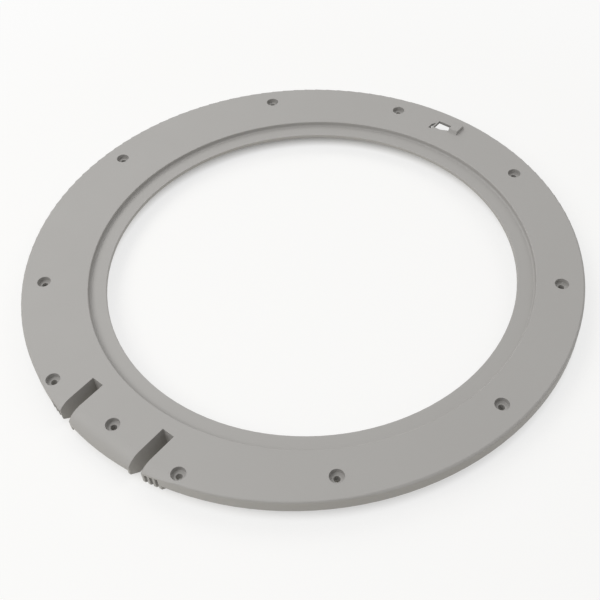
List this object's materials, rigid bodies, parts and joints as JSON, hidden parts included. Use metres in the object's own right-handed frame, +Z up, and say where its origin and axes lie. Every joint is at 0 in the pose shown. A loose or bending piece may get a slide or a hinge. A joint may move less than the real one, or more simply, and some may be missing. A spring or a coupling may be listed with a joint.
{
  "type": "washing machine inner door frame",
  "caption": "Round one-piece plastic inner door frame of a washing machine, with a sunken lip round the opening, screw seats and hinge slots.",
  "frame": {"origin": "centre of the ring's outer circle, on the plane of the feet of the hinge box and the latch housing", "axes": "+Z up out of the visible face, +X from the hinge towards the latch"},
  "size_m": [0.393, 0.393, 0.0215],
  "materials": {
    "grey_plastic": "fine matte moulded texture"
  },
  "bodies": {
    "root": {"door_frame": "grey_plastic"}
  },
  "joints": []
}
